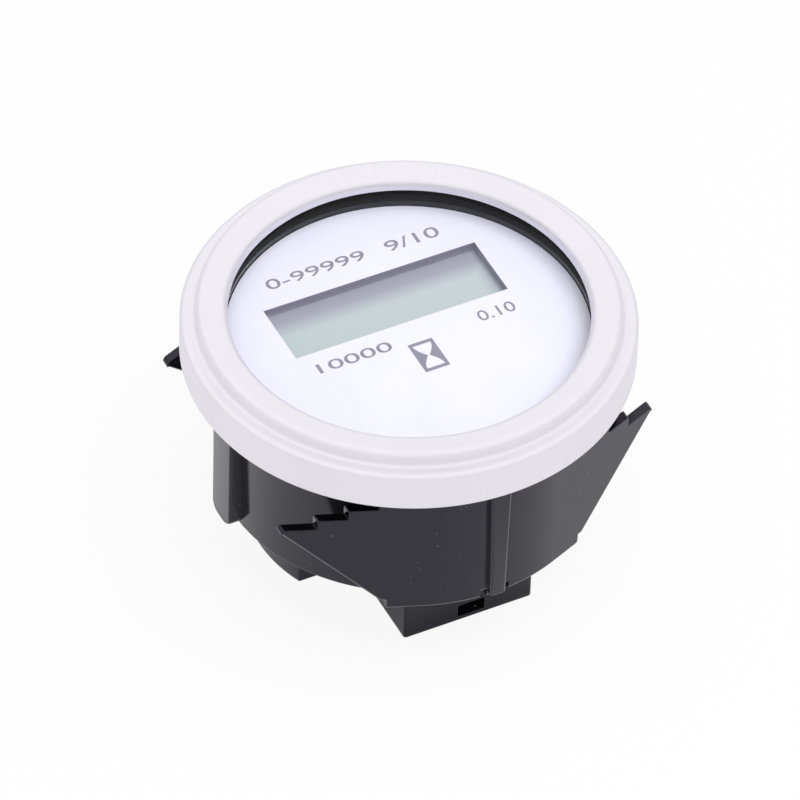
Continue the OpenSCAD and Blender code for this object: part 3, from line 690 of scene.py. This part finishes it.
def moulded_black():
    """Black moulded plastic: a glossy skin with fine orange peel, a faint painted highlight on its rounded
    edges, and light specks.
    """
    material, tree, shader, place = finish("moulded_black", IOR=1.6, Specular_Tint=(0.36, 0.36, 0.5, 1.0),
                                            Coat_Weight=1.0, Coat_IOR=1.2, Coat_Roughness=0.14)
    grain = placed(tree, FINE_GRAIN, Place=place, Scale=7000.0)
    edge_glint = placed(tree, EDGE_HIGHLIGHT, Place=place)["Mask"]
    dust = placed(tree, SETTLED_DUST, Place=place, Scale=900.0, Share=0.2)["Mask"]
    base = mixed(tree, grain["Shade"], colour(10, 10, 13), colour(15, 15, 18))
    # Painted highlight: rounded edges are lightened towards a pale grey, as if they caught the light
    highlighted = mixed(tree, maths(tree, "MULTIPLY", edge_glint, 0.32), base, colour(120, 118, 128))
    dusty = mixed(tree, maths(tree, "MULTIPLY", dust, 0.6), highlighted, colour(190, 186, 182))
    tree.links.new(dusty, shader.inputs["Base Color"])
    gloss = ranged(tree, grain["Shade"], 0, 1, 0.12, 0.18)
    rough = maths(tree, "ADD", gloss, maths(tree, "MULTIPLY", dust, 0.4))
    tree.links.new(rough, shader.inputs["Roughness"])
    bumped(tree, shader, grain["Height"], 0.3, 0.00002)
    return material


def satin_silver():
    """Satin silver sheet: fine brush lines across the rim, slow shade and a few specks."""
    material, tree, shader, place = finish("satin_silver", Metallic=1.0)
    grain = placed(tree, FINE_GRAIN, Place=place, Scale=2500.0)
    round_rim = add(tree, "TexCoord").outputs["UV"]
    lines_at = add(tree, "Mapping", {"Vector": round_rim, "Scale": (900.0, 1.2, 1.0)}).outputs["Vector"]
    lines = add(tree, "TexNoise", {"Vector": lines_at, "Scale": 1.0, "Detail": 2.0}).outputs["Fac"]
    dust = placed(tree, SETTLED_DUST, Place=place, Scale=420.0, Share=0.012)["Mask"]
    bright = mixed(tree, grain["Shade"], colour(247, 246, 250), colour(249, 248, 252))
    lined = mixed(tree, ranged(tree, lines, 0.3, 0.7, 0.0, 0.03), bright, colour(205, 203, 212))
    marked = mixed(tree, maths(tree, "MULTIPLY", dust, 0.6), lined, colour(150, 148, 150))
    tree.links.new(marked, shader.inputs["Base Color"])
    tree.links.new(ranged(tree, lines, 0.3, 0.7, 0.46, 0.54), shader.inputs["Roughness"])
    bumped(tree, shader, maths(tree, "ADD", lines, grain["Height"]), 0.03, 0.00002)
    return material


def clear_lens():
    """Clear acrylic: refracts, gleams with a slight haze, and lets light straight through to the dial."""
    material, tree, shader, place = finish("clear_lens", IOR=1.49, Transmission_Weight=1.0,
                                            Specular_Tint=(0.08, 0.08, 0.09, 1.0))
    haze = placed(tree, FINE_GRAIN, Place=place, Scale=900.0)["Shade"]
    tree.links.new(ranged(tree, haze, 0, 1, 0.0, 0.02), shader.inputs["Roughness"])
    tint = mixed(tree, haze, colour(252, 252, 255), colour(255, 255, 255))
    tree.links.new(tint, shader.inputs["Base Color"])
    through = add(tree, "BsdfTransparent", {"Color": (0.99, 0.99, 1.0, 1.0)})
    path = add(tree, "LightPath").outputs
    light = maths(tree, "MAXIMUM", path["Is Shadow Ray"], path["Is Diffuse Ray"])
    blend = add(tree, "MixShader", {0: light, 1: shader.outputs[0], 2: through.outputs[0]})
    tree.links.new(blend.outputs[0], tree.nodes["Material Output"].inputs["Surface"])
    return material


def dial_paint():
    """White paint on the faces that look up, grey on the cut edges, and the paint has grain and dust."""
    material, tree, shader, place = finish("dial_paint", Roughness=0.5)
    grain = placed(tree, FINE_GRAIN, Place=place, Scale=4000.0)
    dust = placed(tree, SETTLED_DUST, Place=place, Scale=600.0, Share=0.01)["Mask"]
    normal = add(tree, "SeparateXYZ", {0: add(tree, "NewGeometry").outputs["True Normal"]}).outputs["Z"]
    painted = maths(tree, "GREATER_THAN", normal, 0.5)
    paint = mixed(tree, grain["Shade"], colour(241, 243, 254), colour(244, 246, 255))
    sided = mixed(tree, painted, colour(152, 151, 166), paint)
    dusty = mixed(tree, maths(tree, "MULTIPLY", dust, 0.3), sided, colour(170, 168, 170))
    tree.links.new(dusty, shader.inputs["Base Color"])
    bumped(tree, shader, grain["Height"], 0.05, 0.00002)
    return material


def ink_grey():
    """Grey screen ink, a little uneven."""
    material, tree, shader, place = finish("ink_grey", Roughness=0.55)
    grain = placed(tree, FINE_GRAIN, Place=place, Scale=6000.0)
    tone = mixed(tree, grain["Shade"], colour(138, 137, 149), colour(147, 146, 158))
    tree.links.new(tone, shader.inputs["Base Color"])
    bumped(tree, shader, grain["Height"], 0.05, 0.00001)
    return material


# Places on the display film, in metres of its object coordinates; the far and right ones bound the painted
# shadow of the window's walls
FILM_SPAN = (-0.015, 0.015)
FILM_FAR_PAINTED_SHADOW = (0.007, 0.0094)
FILM_RIGHT_PAINTED_SHADOW = (0.0128, 0.0147)


def display_film():
    """Blank liquid crystal film: mottled grey green, with a painted shadow of the window's walls that greys
    it under the far and right edges.
    """
    material, tree, shader, place = finish("display_film", Roughness=0.35)
    grain = placed(tree, FINE_GRAIN, Place=place, Scale=9000.0)
    across = add(tree, "SeparateXYZ", {0: place}).outputs
    far = ranged(tree, across["Y"], *FILM_FAR_PAINTED_SHADOW)
    right = ranged(tree, across["X"], *FILM_RIGHT_PAINTED_SHADOW)
    # Painted shadow: grey towards the far edge, and less towards the right edge, where the window's walls
    # shade the film
    shaded = maths(tree, "MAXIMUM", far, maths(tree, "MULTIPLY", right, 0.7))
    along = ranged(tree, across["X"], *FILM_SPAN)
    tone = mixed(tree, along, colour(192, 208, 204), colour(199, 211, 208))
    shadowed_tone = mixed(tree, maths(tree, "MULTIPLY", shaded, 0.9), tone, colour(158, 158, 172))
    mottled = mixed(tree, maths(tree, "MULTIPLY", grain["Height"], 0.2), shadowed_tone, colour(168, 182, 180))
    tree.links.new(mottled, shader.inputs["Base Color"])
    bumped(tree, shader, grain["Height"], 0.04, 0.00001)
    return material


def grained(name, dark, pale, rough, scale=5000.0, bump=0.15, dust_share=0.0, **constants):
    """Plain finish of a small piece: two tones, a varied roughness, grain and perhaps dust."""
    material, tree, shader, place = finish(name, **constants)
    grain = placed(tree, FINE_GRAIN, Place=place, Scale=scale)
    tone = mixed(tree, grain["Shade"], colour(*dark), colour(*pale))
    if dust_share:
        dust = placed(tree, SETTLED_DUST, Place=place, Scale=900.0, Share=dust_share)["Mask"]
        tone = mixed(tree, maths(tree, "MULTIPLY", dust, 0.7), tone, colour(170, 168, 164))
    tree.links.new(tone, shader.inputs["Base Color"])
    gloss = ranged(tree, grain["Height"], 0.3, 0.7, rough - 0.06, rough + 0.06)
    tree.links.new(gloss, shader.inputs["Roughness"])
    bumped(tree, shader, grain["Height"], bump, 0.00002)
    return material


def dress(target, material):
    """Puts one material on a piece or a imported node."""
    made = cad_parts[target] if isinstance(target, str) else target
    made.data.materials.clear()
    made.data.materials.append(material)


black = moulded_black()
for made in case_pieces:
    dress(made, black)
dress("case", black)
silver = satin_silver()
dress(bezel, silver)
dress("bezel", silver)
ink = ink_grey()
for made in ink_pieces:
    dress(made, ink)
dress("lens", clear_lens())
dress("dial_plate", dial_paint())
dress("front_polariser", display_film())

chip_black = grained("chip_black", (24, 24, 26), (34, 34, 36), 0.5)
display_glass = grained("display_glass", (205, 214, 212), (214, 222, 220), 0.1, bump=0.02)
contact_rubber = grained("contact_rubber", (44, 44, 46), (56, 56, 58), 0.7)
tinned = grained("tinned_blade", (196, 190, 176), (212, 207, 194), 0.3, scale=3000.0, Metallic=1.0)
plated = grained("plated_steel", (186, 186, 188), (204, 204, 206), 0.32, scale=3000.0, Metallic=1.0)
FINISHES = {
    "lens_gasket": grained("gasket_rubber", (12, 12, 14), (22, 22, 24), 0.75, dust_share=0.12,
                            Specular_IOR_Level=0.1),
    "display_carrier": grained("carrier_plastic", (166, 165, 177), (176, 175, 186), 0.5),
    "front_glass": display_glass,
    "rear_glass": display_glass,
    "reflector": grained("reflector_foil", (188, 192, 192), (204, 207, 206), 0.45, Metallic=1.0),
    "upper_contact_strip": contact_rubber,
    "lower_contact_strip": contact_rubber,
    "circuit_board": grained("board_resist", (14, 66, 36), (20, 80, 44), 0.35),
    "microcontroller": chip_black,
    "memory_chip": chip_black,
    "voltage_regulator": chip_black,
    "rectifier_diodes": chip_black,
    "chip_resistors": chip_black,
    "timing_crystal": plated,
    "smoothing_capacitor": grained("capacitor_sleeve", (44, 58, 92), (54, 68, 104), 0.35),
    "surge_absorber": grained("absorber_dip", (24, 58, 140), (32, 68, 154), 0.3),
    "ceramic_capacitors": grained("fired_ceramic", (172, 138, 96), (188, 154, 110), 0.5),
    "left_terminal": tinned,
    "right_terminal": tinned,
    "carrier_screws": plated,
}
for node_name, material in FINISHES.items():
    dress(node_name, material)

# Camera: solved from the bezel's circles and the wings' tips
LENS_MM = 405.0
IMAGE_PX = 800
FOCAL_PX = 9000.0
DISTANCE = 1119.1
ELEVATION = np.radians(44.57)
AZIMUTH = np.radians(27.76)
ROLL = np.radians(1.854)
ORIGIN_PX = np.array([408.26, 347.03])

# Light: strengths, and pairs that hold what the camera sees and what is mirrored; the radii of the floor's
# painted contact shadow are in metres
COOL_WHITE = (0.985, 0.965, 1.0, 1.0)
AMBIENT = 0.4
HORIZON_GLOW = 0.66
FLOOR_GLOW = (0.92, 0.75)
MIRRORED_FLOOR = 0.88
FLOOR_GAP = 0.03
FLOOR_HALF = 3000.0
LAMP_PLACE = (60, -150, 710)
LAMP_AIM = (0, 0, 0)
LAMP_SIZE = 600
LAMP_POWER = 4.7
PAINTED_SHADOW_R = (0.016, 0.034)
PAINTED_SHADOW_GLOW = 0.3


def photo_camera():
    """Camera that looks down at the dial from the front left, the origin at its place in the picture."""
    forward = -np.array([-np.cos(ELEVATION) * np.sin(AZIMUTH), -np.cos(ELEVATION) * np.cos(AZIMUTH),
                         np.sin(ELEVATION)])
    level = np.array([np.cos(AZIMUTH), -np.sin(AZIMUTH), 0])
    upright = np.cross(level, forward)
    right = np.cos(ROLL) * level + np.sin(ROLL) * upright
    up = np.cos(ROLL) * upright - np.sin(ROLL) * level
    shift = (ORIGIN_PX - IMAGE_PX / 2) / FOCAL_PX * DISTANCE
    place = -forward * DISTANCE - right * shift[0] + up * shift[1]
    data = bpy.data.cameras.new("photo_camera")
    data.lens = LENS_MM
    data.sensor_width = 36.0
    data.clip_start = 0.05
    data.clip_end = 20.0
    made = bpy.data.objects.new("photo_camera", data)
    axes = np.eye(4)
    axes[:3, :3] = np.stack([right, up, -forward], 1)
    axes[:3, 3] = place * MM
    made.matrix_world = Matrix(axes.tolist())
    bpy.context.scene.collection.objects.link(made)
    bpy.context.scene.camera = made


def seen_or_mirrored(tree, seen, mirrored):
    """One value for the camera, one for reflections and clear pieces, and 0 for light on the object."""
    path = add(tree, "LightPath").outputs
    others = maths(tree, "MAXIMUM", path["Is Glossy Ray"], path["Is Transmission Ray"])
    straight = maths(tree, "MULTIPLY", path["Is Camera Ray"], seen)
    return maths(tree, "MAXIMUM", straight, maths(tree, "MULTIPLY", others, mirrored))


def backdrop_tint(tree):
    """White to the camera, and the cool white of the studio's light in reflections."""
    straight = add(tree, "LightPath").outputs["Is Camera Ray"]
    return mixed(tree, straight, COOL_WHITE, (1.0, 1.0, 1.0, 1.0))


def studio_floor():
    """Level square under the socket's mouth, white where no shadow falls, and clear when seen from below.

    In reflections it is dimmer, with a painted contact shadow that darkens it most under the object, and
    inside the socket's mouth it has no glow.
    """
    corners = FLOOR_HALF * np.array([(-1, -1), (1, -1), (1, 1), (-1, 1)])
    mesh = bpy.data.meshes.new("studio_floor")
    points = np.column_stack([corners, np.full(4, -SHROUD_DEPTH - FLOOR_GAP)])
    mesh.from_pydata((points * MM).tolist(), [], [(0, 1, 2, 3)])
    made = bpy.data.objects.new("studio_floor", mesh)
    bpy.context.scene.collection.objects.link(made)
    material, tree, shader, place = finish("floor_white", Roughness=0.9)
    patch = placed(tree, FINE_GRAIN, Place=place, Scale=40.0)["Shade"]
    tone = mixed(tree, patch, colour(246, 246, 247), colour(249, 249, 249))
    tree.links.new(tone, shader.inputs["Base Color"])
    straight = add(tree, "LightPath").outputs["Is Camera Ray"]
    strength = maths(tree, "MAXIMUM", straight, MIRRORED_FLOOR)
    glow = add(tree, "Emission", {"Color": backdrop_tint(tree), "Strength": strength})
    across = add(tree, "SeparateXYZ", {0: place}).outputs
    level = add(tree, "CombineXYZ", {0: across["X"], 1: across["Y"]}).outputs[0]
    away = add(tree, "VectorMath", {0: level}, operation="LENGTH").outputs["Value"]
    # Painted contact shadow: the mirrored glow falls to a share of itself under the object
    mirrored = ranged(tree, away, *PAINTED_SHADOW_R, PAINTED_SHADOW_GLOW * FLOOR_GLOW[1], FLOOR_GLOW[1])
    beside = maths(tree, "GREATER_THAN", maths(tree, "ABSOLUTE", across["X"]), SOCKET_HALF * MM)
    ahead = maths(tree, "LESS_THAN", across["Y"], SOCKET_FRONT * MM)
    behind = maths(tree, "GREATER_THAN", across["Y"], SOCKET_BACK * MM)
    outside = maths(tree, "MAXIMUM", beside, maths(tree, "MAXIMUM", ahead, behind))
    share = maths(tree, "MULTIPLY", outside, seen_or_mirrored(tree, FLOOR_GLOW[0], mirrored))
    blend = add(tree, "MixShader", {0: share, 1: shader.outputs[0], 2: glow.outputs[0]})
    below = add(tree, "NewGeometry").outputs["Backfacing"]
    clear = add(tree, "BsdfTransparent")
    sided = add(tree, "MixShader", {0: below, 1: blend.outputs[0], 2: clear.outputs[0]})
    tree.links.new(sided.outputs[0], tree.nodes["Material Output"].inputs["Surface"])
    mesh.materials.append(material)


def soft_lamp(name, place, aim, size, power):
    """Square soft lamp at a place in millimetres, turned to face its aim and left out of reflections."""
    data = bpy.data.lights.new(name, "AREA")
    data.size = size * MM
    data.energy = power
    data.color = COOL_WHITE[:3]
    made = bpy.data.objects.new(name, data)
    made.visible_glossy = False
    back = unit(np.array(place, float) - np.array(aim, float))
    side = unit(np.cross((0, 0, 1) if abs(back[2]) < 0.99 else (0, 1, 0), back))
    axes = np.eye(4)
    axes[:3, :3] = np.stack([side, np.cross(back, side), back], 1)
    axes[:3, 3] = np.array(place, float) * MM
    made.matrix_world = Matrix(axes.tolist())
    bpy.context.scene.collection.objects.link(made)


def studio_world():
    """Even surround: white to the camera, graded upwards in reflections, and dimmer as light."""
    world = bpy.data.worlds.new("studio_world")
    bpy.context.scene.world = world
    world.use_nodes = True
    tree = world.node_tree
    height = add(tree, "SeparateXYZ", {0: add(tree, "TexCoord").outputs["Generated"]}).outputs["Z"]
    graded = ranged(tree, height, 0.0, 0.5, HORIZON_GLOW, 1.0)
    strength = maths(tree, "MAXIMUM", seen_or_mirrored(tree, 1.0, graded), AMBIENT)
    tree.links.new(strength, tree.nodes["Background"].inputs["Strength"])
    tree.links.new(backdrop_tint(tree), tree.nodes["Background"].inputs["Color"])


photo_camera()
studio_floor()
studio_world()
soft_lamp("key_softbox", LAMP_PLACE, LAMP_AIM, LAMP_SIZE, LAMP_POWER)

settings = bpy.context.scene.view_settings
settings.view_transform = "Standard"
